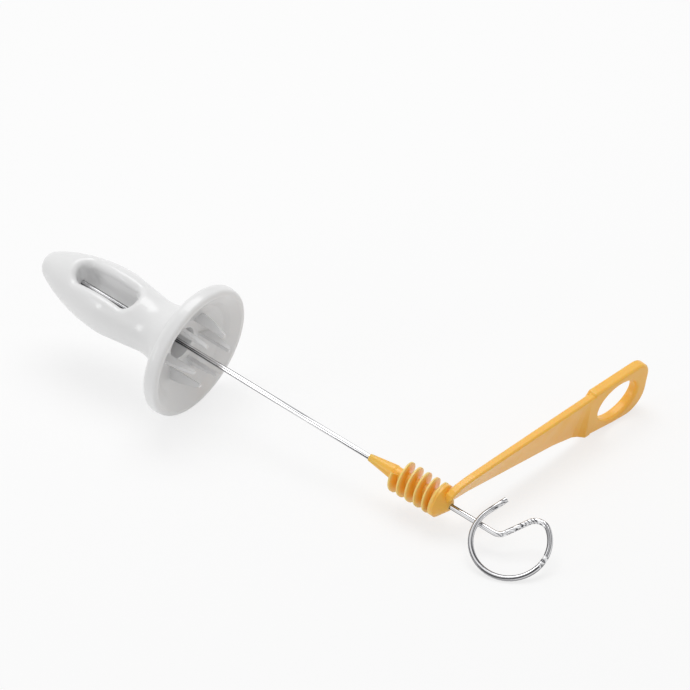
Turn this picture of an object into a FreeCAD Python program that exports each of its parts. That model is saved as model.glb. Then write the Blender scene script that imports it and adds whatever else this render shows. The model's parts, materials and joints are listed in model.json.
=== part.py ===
import FreeCAD, Part
import math
import os

import Sketcher

from FreeCAD import Placement, Rotation, Vector

# Hand-cranked spiral potato cutter, in millimetres, lying on a table as it rests after use.
#
# Three loose pieces share one tool axis:
#   holder  a moulded handle with a flared cup, six teeth that grip the potato and a finger slot
#   skewer  a pointed wire, pushed point first into the holder, with a finger loop at its other end
#   cutter  a moulded feed screw with a bladed crank arm, threaded on the skewer
#
# Each piece is drawn in its own frame, with +X along the tool axis towards the loop.  The holder and
# the skewer have their origin where the axis meets the front of the cup, the cutter where the axis
# meets the rear face of its blade.  The last section lays all three on the table, where Z = 0.

SIZES = {
    # skewer: the wire, its point and the stretch from the cup's front to the first bend
    "wire_diameter": 2.5,
    "point_length": 6.0,
    "point_seat": 81.7,
    "shaft_reach": 162.0,
    "bend_radius": 5.0,
    # skewer: the finger loop, a ring in a plane that leans so that its end passes over the shaft
    "loop_radius": 16.5,
    "loop_setback": 167.8,
    "loop_lean": 4.6,
    "loop_start_angle": 50.0,
    "loop_end_angle": 200.0,
    "lead_in": 7.6,
    "lead_in_radius": 6.0,
    "lead_out": 9.5,
    # running clearance between the wire and each hole it passes through, on the radius
    "wire_clearance": 0.08,
    "point_clearance": 0.3,
    # holder: handle, neck and flared rim
    "handle_length": 89.0,
    "handle_radius": 15.5,
    "belly_setback": 48.0,
    "belly_bend": 20.0,
    "handle_end_radius": 7.5,
    "neck_radius": 12.9,
    "flare_radius": 18.0,
    "rim_radius": 32.1,
    "rim_width": 7.0,
    "rim_rounding": 3.4,
    "lip_radius": 31.1,
    "lip_rise": 0.3,
    "lip_rounding": 1.8,
    # holder: the cup's face, its hollow centre and the wall that guides the wire
    "dish_radius": 28.4,
    "dish_rounding": 0.8,
    "step_radius": 24.0,
    "step_depth": 2.5,
    "floor_radius": 21.5,
    "floor_depth": 4.5,
    "shelf_radius": 11.0,
    "cup_depth": 10.0,
    "hollow_radius": 7.75,
    "hollow_end_radius": 5.0,
    "hollow_depth": 30.0,
    # holder: the gripping teeth, radial fins with a bowed back and a blunt tip
    "tooth_count": 6,
    "tooth_turn": 5.0,
    "tooth_thickness": 1.7,
    "tooth_reach": 7.6,
    "tooth_inner_radius": 11.4,
    "tooth_tip": 1.7,
    "tooth_tip_slant": 0.9,
    "tooth_tip_rounding": 0.55,
    "tooth_shoulder_reach": -2.5,
    "tooth_shoulder_radius": 15.9,
    "tooth_bow": 26.0,
    "tooth_base_radius": 16.5,
    "tooth_root": 2.5,
    # holder: the finger slot, right through the handle
    "slot_setback": 51.0,
    "slot_length": 33.0,
    "slot_width": 10.2,
    "slot_rim": 2.8,
    # cutter: nose, core and hub
    "blade_setback": 138.5,
    "nose_reach": 44.7,
    "nose_length": 13.3,
    "nose_tip_radius": 1.65,
    "nose_radius": 3.5,
    "nose_shoulder": 1.0,
    "core_radius": 3.2,
    "hub_radius": 7.6,
    "hub_setback": 8.5,
    "hub_shoulder_setback": 6.2,
    "hub_end_setback": 1.8,
    "hub_end_radius": 2.3,
    # cutter: the feed screw, right handed
    "screw_radius": 7.75,
    "screw_pitch": 4.45,
    "screw_start": 30.9,
    "screw_start_angle": 50.0,
    "flight_root": 2.5,
    "flight_crest": 0.8,
    "flight_sink": 0.4,
    # cutter: the blade, a wedge with its edge on the holder's side, swept towards the loop
    "blade_sweep": 7.5,
    "blade_thickness": 3.9,
    "blade_edge": 0.5,
    "blade_chamfer": 0.7,
    "blade_length": 84.0,
    "blade_lap": 3.0,
    "shoulder_reach": 5.7,
    "shoulder_rise": 10.3,
    "root_rise": 7.2,
    "spine_rise": 10.35,
    "spine_end_rise": 15.2,
    "edge_rise": 0.6,
    "edge_bend_reach": 66.0,
    "edge_bend_rise": -4.2,
    "edge_end_rise": -6.7,
    "heel_length": 5.0,
    "heel_scoop": 1.6,
    # cutter: the grip, a thick plate with an oval finger hole
    "grip_thickness": 5.2,
    "grip_end": 122.4,
    "grip_top": 16.1,
    "grip_end_top": 17.5,
    "grip_step": 2.6,
    "grip_step_drop": 3.4,
    "grip_bottom": -9.2,
    "grip_end_bottom": -10.0,
    "grip_heel": -7.2,
    "grip_top_corner": 7.6,
    "grip_bottom_corner": 11.0,
    "grip_edge": 1.35,
    "hole_reach": 103.2,
    "hole_rise": 3.5,
    "hole_length": 25.0,
    "hole_width": 18.6,
    "hole_rim": 1.35,
    # how the holder and the skewer are turned about the tool axis as the tool lies on the table
    "holder_roll": 19.0,
    "loop_roll": 25.5,
}

START, END, CENTRE = 1, 2, 3

doc = FreeCAD.newDocument("spiral_potato_cutter")
sheet = doc.addObject("Spreadsheet::Sheet", "Sizes")
for row, (alias, value) in enumerate(SIZES.items(), start=1):
    sheet.set(f"A{row}", alias)
    sheet.set(f"B{row}", str(value))
    sheet.setAlias(f"B{row}", alias)
doc.recompute()


# ---------------------------------------------------------------- sizes and sketches


class Size:
    """A number kept together with the sheet expression that drives it."""

    def __init__(self, number, text=None):
        self.number = number
        self.text = text or str(number)

    def _with(self, sign, other, number):
        return Size(number, f"({self.text} {sign} {as_size(other).text})")

    def __add__(self, other):
        return self._with("+", other, self.number + as_size(other).number)

    def __sub__(self, other):
        return self._with("-", other, self.number - as_size(other).number)

    def __mul__(self, other):
        return self._with("*", other, self.number * as_size(other).number)

    def __truediv__(self, other):
        return self._with("/", other, self.number / as_size(other).number)

    def __neg__(self):
        return Size(-self.number, f"(-{self.text})")


def as_size(value):
    return value if isinstance(value, Size) else Size(value)


def sine(angle):
    return Size(math.sin(math.radians(angle.number)), f"sin({angle.text} * 1 deg)")


def cosine(angle):
    return Size(math.cos(math.radians(angle.number)), f"cos({angle.text} * 1 deg)")


def least(*sizes):
    return Size(min(size.number for size in sizes), f"min({'; '.join(size.text for size in sizes)})")


class Sheet:
    """Reads a size from the sheet by its alias."""

    def __getattr__(self, alias):
        return Size(float(getattr(sheet, alias)), f"Sizes.{alias}")


cell = Sheet()
ZERO = Size(0.0)


def polar(radius, degrees):
    angle = math.radians(degrees)
    return Vector(radius * math.cos(angle), radius * math.sin(angle), 0)


def arc(centre, radius, start, end):
    """An arc, anticlockwise from one angle in degrees to the other."""
    circle = Part.Circle(Vector(*centre, 0), Vector(0, 0, 1), radius)
    return Part.ArcOfCircle(circle, math.radians(start), math.radians(end))


class Drawing:
    """A sketch on one of a body's own planes, its points and radii tied to the sheet."""

    def __init__(self, body, name, role):
        self.sketch = body.newObject("Sketcher::SketchObject", name)
        plane = next(item for item in body.Origin.OriginFeatures if item.Role == role)
        self.sketch.AttachmentSupport = [(plane, "")]
        self.sketch.MapMode = "FlatFace"

    def turn_about_axis(self, angle):
        """Turns a sketch that holds the tool axis about it, from the top towards -Y."""
        self.sketch.AttachmentOffset = Placement(Vector(), Rotation(Vector(1, 0, 0), angle.number))
        self.sketch.setExpression("AttachmentOffset.Rotation.Angle", angle.text)

    def add(self, geometry, construction=False):
        return self.sketch.addGeometry(geometry, construction)

    def rule(self, kind, *where):
        self.sketch.addConstraint(Sketcher.Constraint(kind, *where))

    def sized(self, kind, *where):
        *where, size = where
        index = self.sketch.addConstraint(Sketcher.Constraint(kind, *where, size.number))
        self.sketch.setExpression(f"Constraints[{index}]", size.text)

    def fix(self, geometry, end, x, y):
        self.sized("DistanceX", geometry, end, x)
        self.sized("DistanceY", geometry, end, y)

    def line(self, first, last, construction=False):
        """A straight line; either end may be given as plain numbers or as sizes."""
        ends = [Vector(as_size(x).number, as_size(y).number, 0) for x, y in (first, last)]
        return self.add(Part.LineSegment(*ends), construction)

    def level(self, height, reach):
        """A construction line along X at a given height."""
        guide = self.line((-reach, height), (ZERO, height), construction=True)
        self.fix(guide, START, -reach, height)
        self.fix(guide, END, ZERO, height)
        return guide

    def polygon(self, corners):
        """A closed outline of straight lines, each corner held by its two sizes."""
        corners = [(as_size(x), as_size(y)) for x, y in corners]
        following = corners[1:] + corners[:1]
        sides = [self.line(corner, after) for corner, after in zip(corners, following)]
        for side, after in zip(sides, sides[1:] + sides[:1]):
            self.rule("Coincident", side, END, after, START)
        for side, (x, y) in zip(sides, corners):
            self.fix(side, START, x, y)

    def rounded(self, corners):
        """A closed outline whose corners are (x, y, radius), rounded where the radius isn't None."""
        count = len(corners)
        points = [Vector(as_size(x).number, as_size(y).number, 0) for x, y, _ in corners]
        starts, ends, arcs = [], [], []
        for index, (x, y, radius) in enumerate(corners):
            here = points[index]
            back = (points[index - 1] - here).normalize()
            ahead = (points[(index + 1) % count] - here).normalize()
            reach = 0.0
            if radius is not None:
                reach = radius.number / math.tan(back.getAngle(ahead) / 2)
            ends.append(here + back * reach)
            starts.append(here + ahead * reach)
            arcs.append(None)
            if radius is not None:
                middle = here + (back + ahead).normalize() * (
                    math.hypot(reach, radius.number) - radius.number)
                arcs[index] = self.add(Part.Arc(ends[index], middle, starts[index]))
        following = ends[1:] + ends[:1]
        sides = [self.add(Part.LineSegment(*side)) for side in zip(starts, following)]
        for index, (x, y, radius) in enumerate(corners):
            before, after = sides[index - 1], sides[index]
            if radius is None:
                self.rule("Coincident", before, END, after, START)
                self.fix(after, START, as_size(x), as_size(y))
                continue
            curve = self.sketch.Geometry[arcs[index]]
            start_miss = curve.StartPoint.distanceToPoint(ends[index])
            end_miss = curve.EndPoint.distanceToPoint(ends[index])
            first, last = (END, START) if start_miss > end_miss else (START, END)
            self.rule("Tangent", before, END, arcs[index], first)
            self.rule("Tangent", arcs[index], last, after, START)
            self.sized("Radius", arcs[index], radius)
            corner = self.add(Part.Point(points[index]), True)
            self.rule("PointOnObject", corner, START, before)
            self.rule("PointOnObject", corner, START, after)
            self.fix(corner, START, as_size(x), as_size(y))

    def circle(self, radius):
        ring = self.add(Part.Circle(Vector(0, 0, 0), Vector(0, 0, 1), radius.number))
        self.rule("Coincident", ring, CENTRE, -1, START)
        self.sized("Radius", ring, radius)

    def stadium(self, left, right, radius):
        """Two half circles joined by straight sides, lying along X between two ends."""
        caps = []
        for reach, start in ((left + radius, 90), (right - radius, -90)):
            cap = self.add(arc((reach.number, 0), radius.number, start, start + 180))
            self.fix(cap, CENTRE, reach, ZERO)
            caps.append(cap)
        low = self.line((left + radius, -radius), (right - radius, -radius))
        high = self.line((right - radius, radius), (left + radius, radius))
        self.sized("Radius", caps[0], radius)
        for first, last in ((caps[0], low), (low, caps[1]), (caps[1], high), (high, caps[0])):
            self.rule("Tangent", first, END, last, START)

    def oval(self, x, y, length, width):
        """An ellipse with its long axis along X."""
        centre = Vector(x.number, y.number, 0)
        tip = centre + Vector(length.number / 2, 0, 0)
        side = centre + Vector(0, width.number / 2, 0)
        ring = self.add(Part.Ellipse(tip, side, centre))
        self.sketch.exposeInternalGeometry(ring)
        long_axis, short_axis = ring + 1, ring + 2
        self.fix(ring, CENTRE, x, y)
        self.rule("Horizontal", long_axis)
        self.sized("Distance", long_axis, length)
        self.sized("Distance", short_axis, width)


# ---------------------------------------------------------------- features


def new_body(label):
    body = doc.addObject("PartDesign::Body", label)
    body.Label = label
    return body


def axis_of(body, role):
    return next(item for item in body.Origin.OriginFeatures if item.Role == role)


def feature(body, kind, name, drawing, **sizes):
    """Adds a sketch-based feature and ties its sizes to the sheet."""
    made = body.newObject(f"PartDesign::{kind}", name)
    made.Profile = drawing.sketch
    for prop, size in sizes.items():
        made.setExpression(prop, size.text)
    return made


def turned(body, kind, name, drawing):
    """A full revolution, or a groove, about the tool axis."""
    made = feature(body, kind, name, drawing)
    made.ReferenceAxis = (axis_of(body, "X_Axis"), [""])
    made.Angle = 360
    return made


def cut_through(body, name, drawing, depth):
    """A pocket to both sides of its sketch, checked by the volume it takes."""
    doc.recompute()
    before = body.Shape.Volume
    pocket = feature(body, "Pocket", name, drawing, Length=depth)
    pocket.Midplane = True
    doc.recompute()
    if not body.Shape.Volume < before - 1.0:
        raise RuntimeError(f"{name} cuts nothing")
    return pocket


def round_edges(body, name, base, radius, wanted):
    """Rounds the edges of a feature that the test picks."""
    doc.recompute()
    names = [f"Edge{i}" for i, edge in enumerate(base.Shape.Edges, start=1) if wanted(edge)]
    if not names:
        raise RuntimeError(f"{name} finds no edge")
    fillet = body.newObject("PartDesign::Fillet", name)
    fillet.Base = (base, names)
    fillet.setExpression("Radius", radius.text)
    doc.recompute()
    return fillet


def is_ring(edge, x, radius):
    """True for a whole circle about the tool axis at a given place and radius."""
    if edge.Degenerated or not isinstance(edge.Curve, Part.Circle):
        return False
    return (abs(edge.Curve.Center.x - x.number) < 1e-3
            and abs(edge.Curve.Radius - radius.number) < 1e-3)


# ---------------------------------------------------------------- holder


def handle_outline(body):
    """The half section of the handle: a rounded end, a long belly, a neck and the flared rim."""
    draw = Drawing(body, "handle_section", "XZ_Plane")
    length, belly, thick = cell.handle_length, cell.handle_radius, cell.belly_setback
    end_radius, neck, flare = cell.handle_end_radius, cell.neck_radius, cell.flare_radius
    rim, width, lip, rise = cell.rim_radius, cell.rim_width, cell.lip_radius, cell.lip_rise

    # first guesses for the arcs, which the tangencies then settle
    swell_radius, end_reach = cell.belly_bend, length.number - thick.number - end_radius.number
    swell_centre = Vector(-thick.number, belly.number - swell_radius.number, 0)
    belly_radius = ((end_reach ** 2 + belly.number ** 2 - end_radius.number ** 2)
                    / (2 * (belly.number - end_radius.number)))
    belly_centre = (-thick.number, belly.number - belly_radius)
    join = 90 + math.degrees(math.atan2(end_reach, belly_radius - belly.number))
    flare_y = neck.number + flare.number
    flare_x = -width.number - math.sqrt(flare.number ** 2 - (rim.number - flare_y) ** 2)
    rim_angle = math.degrees(math.atan2(rim.number - flare_y, -width.number - flare_x))
    between = Vector(flare_x, flare_y, 0) - swell_centre
    lean = math.asin((swell_radius.number + flare.number) / between.Length)
    slope = math.degrees(lean - math.atan2(between.y, between.x))
    swell_start = swell_centre + polar(swell_radius.number, 90 - slope)
    flare_start = Vector(flare_x, flare_y, 0) + polar(flare.number, -90 - slope)

    axis = draw.line((-length, ZERO), (rise, ZERO))
    face = draw.line((rise, ZERO), (rise, lip))
    edge = draw.line((rise, lip), (-width, rim))
    flared = draw.add(arc((flare_x, flare_y), flare.number, -90 - slope, rim_angle))
    waist = draw.add(Part.LineSegment(flare_start, swell_start))
    swell = draw.add(arc((swell_centre.x, swell_centre.y), swell_radius.number, 90 - slope, 90))
    bulge = draw.add(arc(belly_centre, belly_radius, 90, join))
    butt = draw.add(arc((end_radius.number - length.number, 0), end_radius.number, join, 180))

    draw.fix(axis, START, -length, ZERO)
    draw.fix(face, START, rise, ZERO)
    draw.fix(edge, START, rise, lip)
    draw.fix(edge, END, -width, rim)
    draw.rule("Coincident", axis, END, face, START)
    draw.rule("Coincident", face, END, edge, START)
    draw.rule("Coincident", edge, END, flared, END)
    draw.rule("Tangent", flared, START, waist, START)
    draw.rule("Tangent", waist, END, swell, START)
    draw.rule("Tangent", swell, END, bulge, START)
    draw.rule("Tangent", bulge, END, butt, START)
    draw.rule("Coincident", butt, END, axis, START)
    draw.rule("PointOnObject", butt, CENTRE, -1)
    draw.sized("Radius", butt, end_radius)
    draw.sized("Radius", flared, flare)
    draw.sized("Radius", swell, swell_radius)
    draw.sized("DistanceX", bulge, CENTRE, -thick)
    draw.fix(bulge, START, -thick, belly)
    draw.rule("Tangent", flared, draw.level(neck, length))
    return draw


def cup_outline(body):
    """The half section of what the cup, its hollow and the wire's hole leave open."""
    draw = Drawing(body, "cup_section", "XZ_Plane")
    bore = cell.wire_diameter / 2 + cell.wire_clearance
    blind_end = cell.point_seat + cell.point_clearance
    draw.polygon([
        (cell.lip_rise, ZERO),
        (cell.lip_rise, cell.dish_radius),
        (-cell.step_depth, cell.step_radius),
        (-cell.floor_depth, cell.floor_radius),
        (-cell.cup_depth, cell.shelf_radius),
        (-cell.cup_depth, cell.hollow_radius),
        (-cell.hollow_depth, cell.hollow_end_radius),
        (-cell.hollow_depth, bore),
        (-blind_end, bore),
        (-blind_end, ZERO),
    ])
    return draw


def tooth_outline(body):
    """The side view of one tooth, rooted in the cup's floor."""
    draw = Drawing(body, "tooth_side", "XZ_Plane")
    draw.turn_about_axis(cell.tooth_turn)
    root, inner = -cell.cup_depth - cell.tooth_root, cell.tooth_inner_radius
    reach, tip = cell.tooth_reach, cell.tooth_tip_rounding
    draw.rounded([
        (root, inner, None),
        (reach, inner, tip),
        (reach - cell.tooth_tip_slant, inner + cell.tooth_tip, tip),
        (cell.tooth_shoulder_reach, cell.tooth_shoulder_radius, cell.tooth_bow),
        (root, cell.tooth_base_radius, None),
    ])
    return draw


def make_holder():
    body = new_body("holder")
    solid = turned(body, "Revolution", "handle", handle_outline(body))
    rim = round_edges(body, "rim_rounding", solid, cell.rim_rounding,
                      lambda edge: is_ring(edge, -cell.rim_width, cell.rim_radius))
    solid_volume = rim.Shape.Volume
    cup = turned(body, "Groove", "cup", cup_outline(body))
    doc.recompute()
    if not body.Shape.Volume < solid_volume - 1.0:
        raise RuntimeError("the cup cuts nothing")
    lip = round_edges(body, "lip_rounding", cup, cell.lip_rounding,
                      lambda edge: is_ring(edge, cell.lip_rise, cell.lip_radius))
    round_edges(body, "dish_rounding", lip, cell.dish_rounding,
                lambda edge: is_ring(edge, cell.lip_rise, cell.dish_radius))

    tooth = feature(body, "Pad", "tooth", tooth_outline(body), Length=cell.tooth_thickness)
    tooth.Midplane = True
    teeth = body.newObject("PartDesign::PolarPattern", "teeth")
    teeth.Originals = [tooth]
    teeth.Axis = (axis_of(body, "X_Axis"), [""])
    teeth.Angle = 360
    teeth.setExpression("Occurrences", cell.tooth_count.text)
    body.Tip = teeth

    slot = Drawing(body, "slot_outline", "XY_Plane")
    half_length = cell.slot_length / 2
    near, far = half_length - cell.slot_setback, -half_length - cell.slot_setback
    slot.stadium(far, near, cell.slot_width / 2)
    opening = cut_through(body, "finger_slot", slot, cell.handle_radius * 4)

    def on_slot_mouth(edge):
        box = edge.BoundBox
        inside = box.XMin > far.number - 0.1 and box.XMax < near.number + 0.1
        return inside and min(abs(box.ZMin), abs(box.ZMax)) > cell.handle_radius.number / 2

    round_edges(body, "slot_rim", opening, cell.slot_rim, on_slot_mouth)
    return body


# ---------------------------------------------------------------- skewer


def bend_route(points, radii):
    """Straight runs through the points, joined by tangent arcs, as a list of edges."""
    edges = []
    last = points[0]
    for before, here, after, radius in zip(points, points[1:], points[2:], radii):
        back = (before - here).normalize()
        ahead = (after - here).normalize()
        reach = radius / math.tan(back.getAngle(ahead) / 2)
        middle = here + (back + ahead).normalize() * (math.hypot(reach, radius) - radius)
        edges.append(Part.LineSegment(last, here + back * reach).toShape())
        edges.append(Part.Arc(here + back * reach, middle, here + ahead * reach).toShape())
        last = here + ahead * reach
    edges.append(Part.LineSegment(last, points[-1]).toShape())
    return edges


def skewer_route():
    """The centre line of the wire, from the base of its point to the free end of its loop."""
    number = {alias: float(getattr(sheet, alias)) for alias in SIZES}
    lean = Rotation(Vector(0, 1, 0), number["loop_lean"])
    right_end = Vector(number["loop_setback"] + number["loop_radius"], 0, 0)

    def on_ring(angle, radius=number["loop_radius"]):
        flat = Vector(number["loop_setback"], 0, 0) + polar(radius, angle)
        return right_end + lean.multVec(flat - right_end)

    def along_ring(angle):
        return lean.multVec(polar(1, angle - 90))

    # the loop runs clockwise as seen from above: out to +Y, round the far end and back over the shaft
    start_angle, end_angle = number["loop_start_angle"], -number["loop_end_angle"]
    start, end = on_ring(start_angle), on_ring(end_angle)
    corner = start - along_ring(start_angle) * number["lead_in"]
    first = Vector(-number["point_seat"] + number["point_length"], 0, 0)
    bend = Vector(number["shaft_reach"], 0, 0)
    edges = bend_route([first, bend, corner, start], [number["bend_radius"], number["lead_in_radius"]])
    halfway = on_ring((start_angle + end_angle) / 2)
    edges.append(Part.Arc(start, halfway, end).toShape())
    edges.append(Part.LineSegment(end, end + along_ring(end_angle) * number["lead_out"]).toShape())
    return Part.Wire(edges)


def make_skewer():
    route = doc.addObject("Part::Feature", "skewer_route")
    route.Shape = skewer_route()

    section = doc.addObject("Part::Circle", "wire_section")
    section.setExpression("Radius", (cell.wire_diameter / 2).text)
    section.setExpression("Placement.Base.x", (cell.point_length - cell.point_seat).text)
    section.Placement.Rotation = Rotation(Vector(0, 1, 0), 90)

    wire = doc.addObject("Part::Sweep", "wire")
    wire.Sections = [section]
    wire.Spine = (route, [f"Edge{i}" for i in range(1, len(route.Shape.Edges) + 1)])
    wire.Solid = True
    wire.Frenet = False

    point = doc.addObject("Part::Cone", "point")
    point.setExpression("Radius1", (cell.wire_diameter / 20).text)
    point.setExpression("Radius2", (cell.wire_diameter / 2).text)
    point.setExpression("Height", cell.point_length.text)
    point.setExpression("Placement.Base.x", (-cell.point_seat).text)
    point.Placement.Rotation = Rotation(Vector(0, 1, 0), 90)

    skewer = doc.addObject("Part::MultiFuse", "skewer")
    skewer.Label = "skewer"
    skewer.Shapes = [wire, point]
    doc.recompute()
    return skewer


# ---------------------------------------------------------------- cutter


def swept(drawing, reach, turn_about_z):
    """Sets a sketch off from its plane by a reach along the swept arm, and turns it with the arm."""
    sweep = cell.blade_sweep
    drawing.sketch.AttachmentOffset = Placement(Vector(0, 0, 0), Rotation(Vector(0, 1, 0), -sweep.number))
    drawing.sketch.setExpression("AttachmentOffset.Rotation.Angle", f"-{sweep.text}")
    if turn_about_z:
        drawing.sketch.setExpression("AttachmentOffset.Base.x", (reach * sine(sweep)).text)
        drawing.sketch.setExpression("AttachmentOffset.Base.z", (-(reach * cosine(sweep))).text)


def blade_section(body, name, reach, top, edge, foot):
    """One section of the blade: flat towards the holder, sloping from the spine to the edge behind."""
    draw = Drawing(body, name, "XZ_Plane")
    swept(draw, reach, turn_about_z=True)
    thick, chamfer = cell.blade_thickness, cell.blade_chamfer
    draw.polygon([
        (-thick, edge),
        (foot - thick, edge),
        (ZERO, top - chamfer),
        (-chamfer, top),
        (chamfer - thick, top),
        (-thick, top - chamfer),
    ])
    return draw


def make_blade(body):
    """The blade, from its shoulder on the hub out to where the grip takes over."""
    length, thick, sharp = cell.blade_length, cell.blade_thickness, cell.blade_edge
    shoulder, bend, heel = cell.shoulder_reach, cell.edge_bend_reach, length - cell.heel_length
    spine_slope = (cell.spine_end_rise - cell.spine_rise) / length

    def shoulder_top(reach):
        """The height of the rounded shoulder, a quarter oval from the root up to the spine."""
        share = (reach + cell.hub_end_radius) / (shoulder + cell.hub_end_radius)
        return cell.root_rise + (cell.shoulder_rise - cell.root_rise) * share * (as_size(2) - share)

    def spine(reach):
        return cell.spine_rise + spine_slope * reach

    stations = [
        (-cell.hub_end_radius, cell.root_rise, cell.edge_rise, sharp),
        (ZERO, shoulder_top(ZERO), cell.edge_rise, sharp),
        (shoulder / 2, shoulder_top(shoulder / 2), cell.edge_rise, sharp),
        (shoulder, cell.shoulder_rise, cell.edge_rise, sharp),
        (shoulder * 2, spine(shoulder * 2), cell.edge_rise, sharp),
        (bend, spine(bend), cell.edge_bend_rise, sharp),
        (heel, spine(heel), cell.edge_end_rise, sharp),
        ((heel + length) / 2, spine((heel + length) / 2), (cell.edge_end_rise + cell.grip_heel) / 2,
         cell.heel_scoop),
        (length, cell.spine_end_rise, cell.grip_heel, thick),
        (length + cell.blade_lap, cell.spine_end_rise, cell.grip_heel, thick),
    ]
    sections = [blade_section(body, f"blade_section_{index}", *station).sketch
                for index, station in enumerate(stations, start=1)]
    blade = body.newObject("PartDesign::AdditiveLoft", "blade")
    blade.Profile = sections[0]
    blade.Sections = sections[1:]
    blade.Ruled = True
    return blade


def make_grip(body):
    """The thick end of the arm, its edges rounded, with an oval hole for a finger."""
    draw = Drawing(body, "grip_outline", "YZ_Plane")
    swept(draw, ZERO, turn_about_z=False)
    left, end = cell.blade_length, cell.grip_end
    draw.rounded([
        (left, cell.grip_heel, cell.grip_edge),
        (cell.hole_reach, cell.grip_bottom, None),
        (end, cell.grip_end_bottom, cell.grip_bottom_corner),
        (end, cell.grip_end_top, cell.grip_top_corner),
        (left + cell.grip_step, cell.grip_top, cell.grip_edge),
        (left, cell.grip_top - cell.grip_step_drop, cell.grip_edge),
    ])
    grip = feature(body, "Pad", "grip", draw, Length=cell.grip_thickness)
    grip.Reversed = True
    doc.recompute()

    # the bar round the hole is narrow, so the two roundings share its width
    bar_above = cell.grip_top - cell.hole_rise - cell.hole_width / 2
    bar_below = cell.hole_rise - cell.hole_width / 2 - cell.grip_bottom
    widest = least(bar_above, bar_below, cell.grip_thickness) * 0.48
    round_edges(body, "grip_rounding", grip, least(cell.grip_edge, widest), lambda edge: True)

    hole = Drawing(body, "hole_outline", "YZ_Plane")
    swept(hole, ZERO, turn_about_z=False)
    hole.oval(cell.hole_reach, cell.hole_rise, cell.hole_length, cell.hole_width)
    opening = cut_through(body, "finger_hole", hole, cell.grip_thickness * 4)
    round_edges(body, "hole_rounding", opening, least(cell.hole_rim, widest),
                lambda edge: not edge.Degenerated and edge.isClosed())


def make_cutter():
    body = new_body("cutter")
    make_grip(body)
    make_blade(body)

    core = Drawing(body, "core_section", "XZ_Plane")
    nose_base = cell.nose_length - cell.nose_reach
    core.polygon([
        (-cell.nose_reach, ZERO),
        (-cell.nose_reach, cell.nose_tip_radius),
        (nose_base, cell.nose_radius),
        (nose_base + cell.nose_shoulder, cell.core_radius),
        (-cell.hub_setback, cell.core_radius),
        (-cell.hub_setback, cell.hub_radius),
        (-cell.hub_shoulder_setback, cell.hub_radius),
        (-cell.hub_end_setback, cell.hub_end_radius),
        (-cell.hub_end_setback, ZERO),
    ])
    turned(body, "Revolution", "core", core)

    # the flight starts a little past the top and runs out in the hub's disc
    flight = Drawing(body, "flight_section", "XZ_Plane")
    flight.turn_about_axis(cell.screw_start_angle)
    start, root, crest = -cell.screw_start, cell.flight_root, cell.flight_crest
    buried = cell.core_radius - cell.flight_sink
    flight.polygon([
        (start, buried),
        (start + root, buried),
        (start + root / 2 + crest / 2, cell.screw_radius),
        (start + root / 2 - crest / 2, cell.screw_radius),
    ])
    flights = feature(body, "AdditiveHelix", "flights", flight,
                      Pitch=cell.screw_pitch, Height=cell.screw_start - cell.hub_setback)
    flights.ReferenceAxis = (axis_of(body, "X_Axis"), [""])
    flights.Mode = "pitch-height-angle"
    flights.LeftHanded = False
    doc.recompute()

    bore = Drawing(body, "bore_outline", "YZ_Plane")
    bore.circle(cell.wire_diameter / 2 + cell.wire_clearance)
    cut_through(body, "bore", bore, cell.nose_reach * 3)
    return body


# ---------------------------------------------------------------- lying on the table


def surface_points(shape, sag=0.02):
    return shape.tessellate(sag)[0]


def lowest(points, placement):
    return min(placement.multVec(point).z for point in points)


def bisect(miss, low, high):
    """The angle between two limits at which a miss distance changes sign."""
    low_miss = miss(low)
    for _ in range(40):
        middle = (low + high) / 2
        if (miss(middle) > 0) == (low_miss > 0):
            low = middle
        else:
            high = middle
    return (low + high) / 2


def tilted(slope, roll):
    """A turn about the tool axis, then a slope that lowers the loop's end."""
    return Placement(Vector(0, 0, 0), Rotation(Vector(0, 1, 0), slope) * Rotation(Vector(1, 0, 0), roll))


def lay_down(holder, skewer, cutter):
    """The cup's rim, the loop and the grip touch the table; the middle of the box is the origin."""
    held_roll, roll = cell.holder_roll.number, cell.loop_roll.number
    held, wire, crank = (surface_points(item.Shape) for item in (holder, skewer, cutter))

    def loop_over_rim(slope):
        return lowest(wire, tilted(slope, roll)) - lowest(held, tilted(slope, held_roll))

    slope = bisect(loop_over_rim, 0.0, 40.0)
    ground = lowest(held, tilted(slope, held_roll))
    along = Placement(Vector(cell.blade_setback.number, 0, 0), Rotation())
    arm_roll = bisect(lambda turn: lowest(crank, tilted(slope, turn) * along) - ground, -60.0, 60.0)

    places = [tilted(slope, held_roll), tilted(slope, roll), tilted(slope, arm_roll) * along]
    box = FreeCAD.BoundBox()
    for points, place in zip((held, wire, crank), places):
        for point in points:
            box.add(place.multVec(point))
    shift = Placement(Vector(-box.Center.x, -box.Center.y, -ground), Rotation())
    for item, place in zip((holder, skewer, cutter), places):
        item.Placement = shift * place
    print(f"slope {slope:.4f}, arm roll {arm_roll:.4f}, shift {shift.Base}")
    print(f"box {box.XLength:.2f} x {box.YLength:.2f} x {box.ZLength:.2f}")


# ---------------------------------------------------------------- build, check and write

parts = [make_holder(), make_skewer(), make_cutter()]
doc.recompute()
lay_down(*parts)
doc.recompute()

for item in doc.Objects:
    if "Invalid" in item.State or "Error" in item.State:
        raise RuntimeError(f"{item.Name} did not build: {item.State}")

os.makedirs("parts", exist_ok=True)
for item in parts:
    shape = item.Shape
    if shape.isNull() or not shape.isValid() or len(shape.Solids) != 1:
        raise RuntimeError(f"{item.Label} is not one valid solid")
    shape.exportStep(f"parts/{item.Label}.step")
    print(f"{item.Label}: {shape.Volume:.0f} mm3, {len(shape.Faces)} faces, origin {item.Placement.Base}")
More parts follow.
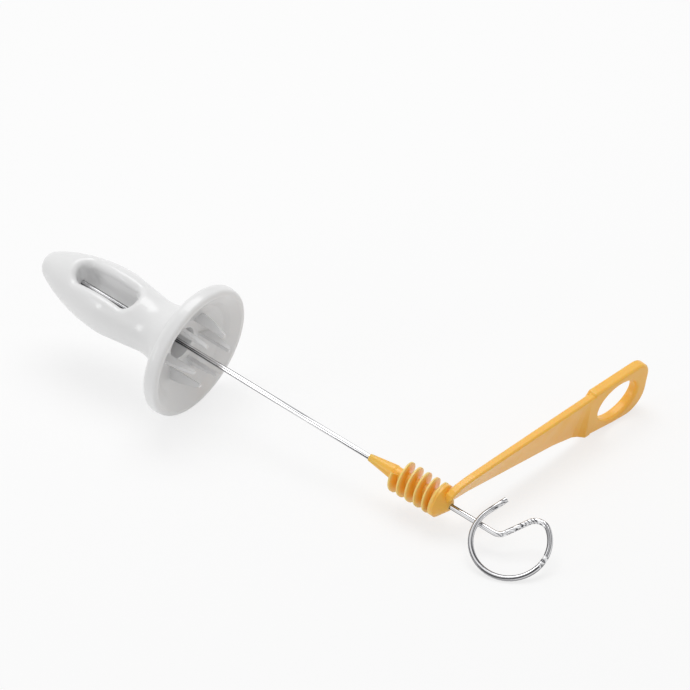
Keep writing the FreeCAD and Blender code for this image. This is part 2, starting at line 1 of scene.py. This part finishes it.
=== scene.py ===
# %% [markdown]
# # A hand-cranked spiral potato cutter
#
# The tool lies on a pale table: a glossy white holder, a bright steel skewer pushed into it, and an
# orange cutter with a feed screw and a crank arm.  The CAD model already has every form at its real
# size, so this script loads it as a fixed frame and gives it what a camera sees: the finish of each
# surface, the light, and the angle it is looked at from.  All lengths are in metres.

# %% Load the frame
import json
import math

import bpy
from mathutils import Matrix, Vector

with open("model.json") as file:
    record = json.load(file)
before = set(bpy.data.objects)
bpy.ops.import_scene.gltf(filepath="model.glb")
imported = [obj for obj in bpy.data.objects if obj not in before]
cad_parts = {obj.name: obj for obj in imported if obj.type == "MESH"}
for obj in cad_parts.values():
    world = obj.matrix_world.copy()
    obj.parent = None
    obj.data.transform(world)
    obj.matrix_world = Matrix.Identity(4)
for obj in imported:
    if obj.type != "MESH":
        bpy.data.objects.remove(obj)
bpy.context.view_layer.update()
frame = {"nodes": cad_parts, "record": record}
record = frame["record"]
print("nodes:", sorted(frame["nodes"]))

# %% [markdown]
# ## The camera
#
# A small object shot for a catalogue is taken from far off with a long lens, which keeps its near
# and far ends almost the same size.  The camera's place is written as a photographer would say it:
# how far round, how high and how far from the point it looks at.  Lamps are placed the same way, so
# one helper serves both.

# %% Place the camera
IMAGE_WIDTH_PX = 690
FOCAL_PX = 3500
SENSOR_WIDTH_MM = 36.0

LOOK_AT = Vector((0.0009, -0.0049, 0.0339))
CAMERA_ROUND, CAMERA_HEIGHT, CAMERA_DISTANCE = 37.46, 36.3, 1.5225


def seen_from(target, degrees_round, degrees_up, distance):
    """The matrix of something that looks at a target from that far round, that high and that far."""
    turn, rise = math.radians(degrees_round), math.radians(degrees_up)
    away = Vector((math.sin(turn) * math.cos(rise), -math.cos(turn) * math.cos(rise), math.sin(rise)))
    facing = away.to_track_quat("Z", "Y").to_matrix().to_4x4()
    return Matrix.Translation(target + away * distance) @ facing


camera_data = bpy.data.cameras.new("camera")
camera_data.sensor_width = SENSOR_WIDTH_MM
camera_data.lens = FOCAL_PX * SENSOR_WIDTH_MM / IMAGE_WIDTH_PX
camera = bpy.data.objects.new("camera", camera_data)
camera.matrix_world = seen_from(LOOK_AT, CAMERA_ROUND, CAMERA_HEIGHT, CAMERA_DISTANCE)
bpy.context.scene.collection.objects.link(camera)
bpy.context.scene.camera = camera
camera_place = tuple(round(value, 3) for value in camera.matrix_world.translation)
print(f"lens {camera_data.lens:.1f} mm, camera at {camera_place}")

# %% [markdown]
# ## Small helpers for node trees
#
# A procedural material is a graph.  Written out in full, each node takes three or four lines, and
# the idea of the finish is lost among them.  Five helpers keep the recipes readable: `fill` gives a
# socket a value or another node's output; `put` adds a node and fills its sockets; `new_group` opens
# a group with named sockets, and `use_group` places it; `new_material` opens a material and hands
# back its shader.  A Mix node has sockets of the same name for each kind of value, so those for
# colours and for vectors are picked by number, and the numbers get names here.

# %% Helpers that put nodes together
MIX_COLOUR_A, MIX_COLOUR_B, MIX_COLOUR_OUT = 6, 7, 2
MIX_VECTOR_A, MIX_VECTOR_B, MIX_VECTOR_OUT = 4, 5, 1


def fill(tree, socket, value):
    """Gives a socket a value, or the output of another node."""
    if isinstance(value, bpy.types.NodeSocket):
        tree.links.new(value, socket)
    else:
        socket.default_value = value


def put(tree, kind, inputs=None, **settings):
    """Adds a node, sets it up and fills the sockets that are named or numbered in `inputs`."""
    node = tree.nodes.new(f"ShaderNode{kind}")
    for name, value in settings.items():
        setattr(node, name, value)
    for key, value in (inputs or {}).items():
        fill(tree, node.inputs[key], value)
    return node


def new_group(name, inputs, outputs):
    """Opens a node group from inputs (name, socket kind, default) and outputs (name, socket kind)."""
    tree = bpy.data.node_groups.new(name, "ShaderNodeTree")
    for label, kind, default in inputs:
        socket = tree.interface.new_socket(label, in_out="INPUT", socket_type=f"NodeSocket{kind}")
        socket.default_value = default
    for label, kind in outputs:
        tree.interface.new_socket(label, in_out="OUTPUT", socket_type=f"NodeSocket{kind}")
    return tree, tree.nodes.new("NodeGroupInput"), tree.nodes.new("NodeGroupOutput")


def new_material(name):
    """Opens a material and returns its tree and its Principled shader."""
    material = bpy.data.materials.new(name)
    material.use_nodes = True
    tree = material.node_tree
    return material, tree, tree.nodes["Principled BSDF"]


def use_group(tree, group, **inputs):
    """Places a node group in a material with its own values, spaces in socket names written as _."""
    node = tree.nodes.new("ShaderNodeGroup")
    node.node_tree = group
    for label, value in inputs.items():
        fill(tree, node.inputs[label.replace("_", " ")], value)
    return node


print("helpers ready")

# %% [markdown]
# ## Where a point lies along the tool
#
# Two finishes follow the tool axis: the drawn streaks of the wire run along it, and the flights of
# the screw turn paler towards their thin crests.  Both need the same two facts about a point, how
# far along the axis it is and how far out from it.  The axis is read from the joint that the cutter
# turns on, so the pattern stays on the piece when the model changes.  Object coordinates are used,
# and they turn and slide with the piece.

# %% Make the group that measures along and out from the tool axis
turning = next(joint for joint in record["behaviour"]["joints"] if joint["type"] == "hinge")
TOOL_AXIS, TOOL_POINT = Vector(turning["axis"]), Vector(turning["pos_m"])

axis_place, _, ends = new_group(
    "place_on_tool_axis", [], [("Along", "Float"), ("Out", "Float"), ("Side", "Vector")])
here = put(axis_place, "TexCoord").outputs["Object"]
from_point = put(axis_place, "VectorMath", {0: here, 1: TOOL_POINT},
                 operation="SUBTRACT").outputs[0]
along = put(axis_place, "VectorMath", {0: from_point, 1: TOOL_AXIS},
            operation="DOT_PRODUCT").outputs["Value"]
on_axis = put(axis_place, "VectorMath", {0: TOOL_AXIS, "Scale": along},
              operation="SCALE").outputs[0]
sideways = put(axis_place, "VectorMath", {0: from_point, 1: on_axis},
               operation="SUBTRACT").outputs[0]
fill(axis_place, ends.inputs["Along"], along)
fill(axis_place, ends.inputs["Out"],
     put(axis_place, "VectorMath", {0: sideways}, operation="LENGTH").outputs["Value"])
fill(axis_place, ends.inputs["Side"],
     put(axis_place, "VectorMath", {0: sideways}, operation="NORMALIZE").outputs[0])
print(f"tool axis {tuple(round(value, 3) for value in TOOL_AXIS)}")

# %% [markdown]
# ## The skin of moulded plastic
#
# Both plastic pieces come out of a polished steel mould, so both have the same three faint marks:
# broad clouds where the melt cooled unevenly, a fine peel that softens the gloss, and patches that
# hands have rubbed duller.  None is strong enough to notice alone, but without them plastic looks
# like paint.  The effect is one group, placed in both materials with values of its own.

# %% Make the moulded skin group
CLOUD_SCALE, PEEL_SCALE, RUBBED_SCALE = 45.0, 1400.0, 110.0
MIDDLE_GREY = 0.5
RUBBED_FROM, RUBBED_TO = 0.48, 0.72
CLOUD_RELIEF = 0.6

moulded, given, made = new_group(
    "moulded_skin",
    [("Colour", "Color", (0.8, 0.8, 0.8, 1)), ("Clouding", "Float", 0.03),
     ("Gloss", "Float", 0.25), ("Rubbing", "Float", 0.08)],
    [("Colour", "Color"), ("Roughness", "Float"), ("Height", "Float")])
here = put(moulded, "TexCoord").outputs["Object"]
clouds = put(moulded, "TexNoise", {"Vector": here, "Scale": CLOUD_SCALE, "Detail": 3.0,
                                   "Roughness": 0.55}).outputs["Fac"]
peel = put(moulded, "TexNoise", {"Vector": here, "Scale": PEEL_SCALE,
                                 "Detail": 2.0}).outputs["Fac"]
rubbed = put(moulded, "TexNoise", {"Vector": here, "Scale": RUBBED_SCALE, "Detail": 4.0,
                                   "Distortion": 0.8}).outputs["Fac"]

swing = put(moulded, "Math", {0: clouds, 1: MIDDLE_GREY}, operation="SUBTRACT").outputs[0]
shade = put(moulded, "Math", {0: swing, 1: given.outputs["Clouding"], 2: 1.0},
            operation="MULTIPLY_ADD").outputs[0]
tinted = put(moulded, "VectorMath", {0: given.outputs["Colour"], "Scale": shade},
             operation="SCALE").outputs[0]
duller = put(moulded, "MapRange", {"Value": rubbed, "From Min": RUBBED_FROM,
                                   "From Max": RUBBED_TO}).outputs[0]
rough = put(moulded, "Math", {0: duller, 1: given.outputs["Rubbing"], 2: given.outputs["Gloss"]},
            operation="MULTIPLY_ADD").outputs[0]
relief = put(moulded, "Math", {0: clouds, 1: CLOUD_RELIEF, 2: peel},
             operation="MULTIPLY_ADD").outputs[0]
for label, value in (("Colour", tinted), ("Roughness", rough), ("Height", relief)):
    fill(moulded, made.inputs[label], value)
print(f"moulded skin: {len(moulded.nodes)} nodes")

# %% [markdown]
# ## White plastic for the holder
#
# The handle is a thick, glossy, slightly milky white, with no colour of its own.  A clear coat over
# a softer base gives two highlights at once, a sharp one from the polished skin and a wide one from
# the milky body.  The teeth and the lip have small roundings, which a Bevel node adds to the shading
# only.

# %% Make the white plastic
WHITE = (0.80, 0.80, 0.80, 1)
PLASTIC_IOR = 1.49
SMALL_ROUNDING, SKIN_DEPTH = 0.0005, 0.0001


def finish_skin(tree, shader, skin, peel_strength):
    """Joins a moulded skin to its shader, with a softened edge and a fine relief."""
    soft_edge = put(tree, "Bevel", {"Radius": SMALL_ROUNDING}, samples=6)
    relief = put(tree, "Bump", {"Strength": peel_strength, "Distance": SKIN_DEPTH,
                                "Height": skin.outputs["Height"], "Normal": soft_edge.outputs[0]})
    fill(tree, shader.inputs["Base Color"], skin.outputs["Colour"])
    fill(tree, shader.inputs["Roughness"], skin.outputs["Roughness"])
    fill(tree, shader.inputs["Normal"], relief.outputs[0])


white_plastic, tree, shader = new_material("white_plastic")
skin = use_group(tree, moulded, Colour=WHITE, Clouding=0.05, Gloss=0.30, Rubbing=0.10)
finish_skin(tree, shader, skin, peel_strength=0.25)
shader.inputs["IOR"].default_value = PLASTIC_IOR
shader.inputs["Subsurface Weight"].default_value = 0.12
shader.inputs["Subsurface Radius"].default_value = (1.0, 1.0, 1.0)
shader.inputs["Subsurface Scale"].default_value = 0.0012
shader.inputs["Coat Weight"].default_value = 0.35
shader.inputs["Coat Roughness"].default_value = 0.06
print("white plastic:", tuple(WHITE))

# %% [markdown]
# ## Orange plastic for the cutter
#
# The orange is strongly coloured but not opaque.  Light goes a few millimetres in, so the thin
# crests of the screw look pale, while the thick hub stays deep and warm.  Subsurface scattering does
# part of this.  The rest is painted light: a colour that runs from deep at the core to pale at the
# crest, by the distance out from the tool axis, and only on the screw, which ends at the hub.

# %% Make the orange plastic
# painted light: the pale orange stands in for light shining through the thin crests
ORANGE, PAINTED_GLOW_ORANGE = (0.93, 0.50, 0.060, 1), (0.96, 0.66, 0.20, 1)
DEEP_RADIUS, CREST_RADIUS = 0.0048, 0.0078
SCREW_END, END_BLEND = -0.0078, 0.001

orange_plastic, tree, shader = new_material("orange_plastic")
place = use_group(tree, axis_place)
outward = put(tree, "MapRange", {"Value": place.outputs["Out"], "From Min": DEEP_RADIUS,
                                 "From Max": CREST_RADIUS},
              interpolation_type="SMOOTHSTEP").outputs[0]
on_screw = put(tree, "MapRange", {"Value": place.outputs["Along"],
                                  "From Min": SCREW_END + END_BLEND,
                                  "From Max": SCREW_END - END_BLEND}).outputs[0]
# painted light: share of the pale colour, standing in for light through the thin crests
painted_glow_share = put(tree, "Math", {0: outward, 1: on_screw}, operation="MULTIPLY").outputs[0]
colour_with_painted_glow = put(tree, "Mix", {"Factor": painted_glow_share, MIX_COLOUR_A: ORANGE, MIX_COLOUR_B: PAINTED_GLOW_ORANGE},
                  data_type="RGBA").outputs[MIX_COLOUR_OUT]
skin = use_group(tree, moulded, Colour=colour_with_painted_glow, Clouding=0.10, Gloss=0.34, Rubbing=0.12)
finish_skin(tree, shader, skin, peel_strength=0.3)
shader.inputs["IOR"].default_value = PLASTIC_IOR
shader.inputs["Subsurface Weight"].default_value = 0.30
shader.inputs["Subsurface Radius"].default_value = (1.0, 0.45, 0.08)
shader.inputs["Subsurface Scale"].default_value = 0.003
shader.inputs["Coat Weight"].default_value = 0.15
shader.inputs["Coat Roughness"].default_value = 0.12
print("orange plastic:", tuple(ORANGE), "to", tuple(PAINTED_GLOW_ORANGE))

# %% [markdown]
# ## Drawn steel for the skewer
#
# Wire is pulled through a die, which leaves fine bright and dark hairlines along its whole length.
# The broad dark and bright bands among them are painted reflection: they stand in for the room
# mirrored round a polished wire, and they are painted onto the surface, so they don't change with
# the viewing angle.  On the straight shaft a line keeps its place round the axis.  On the loop it
# keeps its place round the bent wire, so there the pattern is worked out from the ring: how far a
# point is outside the ring's circle, and how far above its plane.  The ring's centre and plane are
# those of the loop's mount in the record.  Where the wire bends away from the axis, one pattern
# blends into the other.

# %% Find where a point lies round the wire
WIRE_RADIUS, LOOP_RADIUS = 0.00125, 0.0165
DRIFT = 9.0
BLEND_FROM, BLEND_TO = WIRE_RADIUS * 1.5, WIRE_RADIUS * 2.5

pull_loop = next(mount for mount in record["mounts"] if mount["name"] == "pull_loop")
RING_CENTRE, RING_AXIS = Vector(pull_loop["pos_m"]), Vector(pull_loop["axis"])

round_wire, _, ends = new_group("place_round_the_wire", [], [("Place", "Vector")])
place = use_group(round_wire, axis_place)
along_axis = put(round_wire, "VectorMath", {0: TOOL_AXIS, "Scale": place.outputs["Along"]},
                 operation="SCALE").outputs[0]
shaft_drift = put(round_wire, "VectorMath", {0: along_axis, "Scale": DRIFT},
                  operation="SCALE").outputs[0]
on_shaft = put(round_wire, "VectorMath", {0: place.outputs["Side"], 1: shaft_drift},
               operation="ADD").outputs[0]

here = put(round_wire, "TexCoord").outputs["Object"]
from_centre = put(round_wire, "VectorMath", {0: here, 1: RING_CENTRE},
                  operation="SUBTRACT").outputs[0]
above = put(round_wire, "VectorMath", {0: from_centre, 1: RING_AXIS},
            operation="DOT_PRODUCT").outputs["Value"]
lifted = put(round_wire, "VectorMath", {0: RING_AXIS, "Scale": above},
             operation="SCALE").outputs[0]
in_plane = put(round_wire, "VectorMath", {0: from_centre, 1: lifted},
               operation="SUBTRACT").outputs[0]
reach = put(round_wire, "VectorMath", {0: in_plane}, operation="LENGTH").outputs["Value"]
outside = put(round_wire, "Math", {0: reach, 1: LOOP_RADIUS}, operation="SUBTRACT").outputs[0]
flat_place = put(round_wire, "CombineXYZ", {"X": outside, "Y": above}).outputs[0]
round_place = put(round_wire, "VectorMath", {0: flat_place, "Scale": 1 / WIRE_RADIUS},
                  operation="SCALE").outputs[0]
loop_drift = put(round_wire, "VectorMath", {0: in_plane, "Scale": DRIFT},
                 operation="SCALE").outputs[0]
on_loop = put(round_wire, "VectorMath", {0: round_place, 1: loop_drift},
              operation="ADD").outputs[0]

off_axis = put(round_wire, "MapRange", {"Value": place.outputs["Out"], "From Min": BLEND_FROM,
                                        "From Max": BLEND_TO}).outputs[0]
either = put(round_wire, "Mix",
             {"Factor": off_axis, MIX_VECTOR_A: on_shaft, MIX_VECTOR_B: on_loop},
             data_type="VECTOR").outputs[MIX_VECTOR_OUT]
fill(round_wire, ends.inputs["Place"], either)
print(f"loop centre {tuple(round(value, 4) for value in RING_CENTRE)}")

# %% [markdown]
# The lines themselves are two noises read at that place.  A coarse one gives the few broad bands
# of painted reflection that make polished wire look striped, a fine one the real hairlines between
# them.  The fine one also changes the roughness, and both give a faint relief, so each line catches
# the light in its own way.

# %% Make the drawn steel
# painted reflection: the dark, mid and bright stops colour the broad bands as a mirrored room, over
# the real die hairlines
DARK_REFLECTION_AND_LINE, DARK_UP_TO = (0.06, 0.06, 0.065, 1), 0.50
MID_REFLECTION_AND_LINE, MID_AT = (0.50, 0.50, 0.51, 1), 0.60
BRIGHT_REFLECTION_AND_LINE, BRIGHT_FROM = (0.86, 0.86, 0.87, 1), 0.76
REFLECTION_BAND_SCALE, HAIRLINE_SCALE, HAIRLINE_SHARE = 1.9, 9.0, 0.25
SMOOTHEST, ROUGHEST = 0.10, 0.26

steel_wire, tree, shader = new_material("steel_wire")
place = use_group(tree, round_wire).outputs["Place"]
# painted reflection: broad bands standing in for the room mirrored round polished wire
painted_reflection_bands = put(tree, "TexNoise", {"Vector": place, "Scale": REFLECTION_BAND_SCALE, "Detail": 1.0}).outputs["Fac"]
hairlines = put(tree, "TexNoise", {"Vector": place, "Scale": HAIRLINE_SCALE,
                                   "Detail": 3.0}).outputs["Fac"]
painted_reflection_and_hairlines = put(tree, "Math", {0: hairlines, 1: HAIRLINE_SHARE, 2: painted_reflection_bands},
            operation="MULTIPLY_ADD").outputs[0]
ramp = put(tree, "ValToRGB", {"Fac": painted_reflection_and_hairlines})
stops = ramp.color_ramp.elements
stops[0].position, stops[0].color = DARK_UP_TO, DARK_REFLECTION_AND_LINE
stops[1].position, stops[1].color = BRIGHT_FROM, BRIGHT_REFLECTION_AND_LINE
stops.new(MID_AT).color = MID_REFLECTION_AND_LINE
fill(tree, shader.inputs["Base Color"], ramp.outputs["Color"])
fill(tree, shader.inputs["Roughness"],
     put(tree, "MapRange", {"Value": hairlines, "To Min": SMOOTHEST, "To Max": ROUGHEST}).outputs[0])
relief = put(tree, "Bump", {"Strength": 0.15, "Distance": 0.00005, "Height": painted_reflection_and_hairlines})
fill(tree, shader.inputs["Normal"], relief.outputs[0])
shader.inputs["Metallic"].default_value = 1.0
print("drawn steel:", len(tree.nodes), "nodes")

# %% [markdown]
# ## Dress the pieces
#
# The CAD shapes are right, so each keeps its mesh, and only the material in its slots changes.

# %% Give each piece its finish
FINISHES = {"holder": white_plastic, "skewer": steel_wire, "cutter": orange_plastic}
for node_name, material in FINISHES.items():
    piece = frame["nodes"][node_name]
    for slot in piece.material_slots:
        slot.material = material
    print(f"{node_name}: {material.name}, {len(piece.data.polygons)} faces")

# %% [markdown]
# ## The table
#
# Catalogue objects seem to float on white paper.  The table here is a real surface with a soft
# shadow, but what the camera sees of it, directly or in a reflection, is mostly an even white.
# That mix depends on the kind of ray and not on the camera's place, so it looks the same from all
# sides.

# %% Lay the table
TABLE_SIZE, TABLE_WHITE, EVEN_SHARE = 6.0, (0.92, 0.92, 0.92, 1), 0.72
FIBRE_SCALE, FIBRE_SMOOTH, FIBRE_ROUGH = 300.0, 0.75, 0.95


def seen_or_mirrored(tree):
    """1 for rays from the camera, a mirror or a clear material, 0 for the rays that carry light."""
    ray = put(tree, "LightPath")
    direct = put(tree, "Math", {0: ray.outputs["Is Camera Ray"], 1: ray.outputs["Is Glossy Ray"]},
                 operation="MAXIMUM").outputs[0]
    return put(tree, "Math", {0: direct, 1: ray.outputs["Is Transmission Ray"]},
               operation="MAXIMUM").outputs[0]


bpy.ops.mesh.primitive_plane_add(size=TABLE_SIZE, location=(0, 0, 0))
table = bpy.context.object
table.name = "table"

table_paper, tree, shader = new_material("table_paper")
here = put(tree, "TexCoord").outputs["Object"]
fibre = put(tree, "TexNoise", {"Vector": here, "Scale": FIBRE_SCALE, "Detail": 4.0}).outputs["Fac"]
fill(tree, shader.inputs["Base Color"], TABLE_WHITE)
fill(tree, shader.inputs["Roughness"],
     put(tree, "MapRange", {"Value": fibre, "To Min": FIBRE_SMOOTH,
                            "To Max": FIBRE_ROUGH}).outputs[0])
shader.inputs["Specular IOR Level"].default_value = 0.0
even_white = put(tree, "Emission", {"Color": (1, 1, 1, 1), "Strength": 1.0})
share = put(tree, "Math", {0: seen_or_mirrored(tree), 1: EVEN_SHARE},
            operation="MULTIPLY").outputs[0]
blend = put(tree, "MixShader", {0: share, 1: shader.outputs[0], 2: even_white.outputs[0]})
fill(tree, tree.nodes["Material Output"].inputs["Surface"], blend.outputs[0])
table.data.materials.append(table_paper)
print(f"table {TABLE_SIZE:.0f} m across")

# %% [markdown]
# ## The light
#
# White plastic on white paper needs gentle light: too much and its edges vanish.  The room is a
# plain white that gives about half of the light.  A large softbox overhead makes the tops a little
# brighter than the sides, which shows the forms.  A small, weak softbox low at the left adds hardly
# any light, but its reflection draws a bright patch on the holder.

# %% Set the room and the softboxes
ROOM_LIGHT, ROOM_SEEN = 0.56, 1.0
MIDDLE_OF_TOOL, SIDE_OF_HANDLE = (0, 0, 0.02), (-0.085, -0.058, 0.041)

room = bpy.data.worlds.new("white_room")
room.use_nodes = True
bpy.context.scene.world = room
tree = room.node_tree
fill(tree, tree.nodes["Background"].inputs["Color"], (1, 1, 1, 1))
fill(tree, tree.nodes["Background"].inputs["Strength"],
     put(tree, "MapRange", {"Value": seen_or_mirrored(tree), "To Min": ROOM_LIGHT,
                            "To Max": ROOM_SEEN}).outputs[0])


def softbox(name, target, degrees_round, degrees_up, distance, size, power):
    """A rectangular lamp aimed at a target, hidden from the camera itself."""
    data = bpy.data.lights.new(name, "AREA")
    data.shape = "RECTANGLE"
    data.size, data.size_y = size
    data.energy = power
    lamp = bpy.data.objects.new(name, data)
    lamp.matrix_world = seen_from(Vector(target), degrees_round, degrees_up, distance)
    lamp.visible_camera = False
    bpy.context.scene.collection.objects.link(lamp)
    print(f"{name}: {size[0]:.2f} x {size[1]:.2f} m, {power:.2f} W")


softbox("overhead_softbox", MIDDLE_OF_TOOL, degrees_round=215, degrees_up=72, distance=1.2,
        size=(0.9, 0.7), power=6.5)
softbox("side_softbox", SIDE_OF_HANDLE, degrees_round=-22, degrees_up=14, distance=0.8,
        size=(0.17, 0.30), power=0.85)

# %% [markdown]
# ## Close the scene
#
# The colours are meant as written, so the view transform is the plain one.

# %% Set the view and finish
bpy.context.scene.view_settings.view_transform = "Standard"
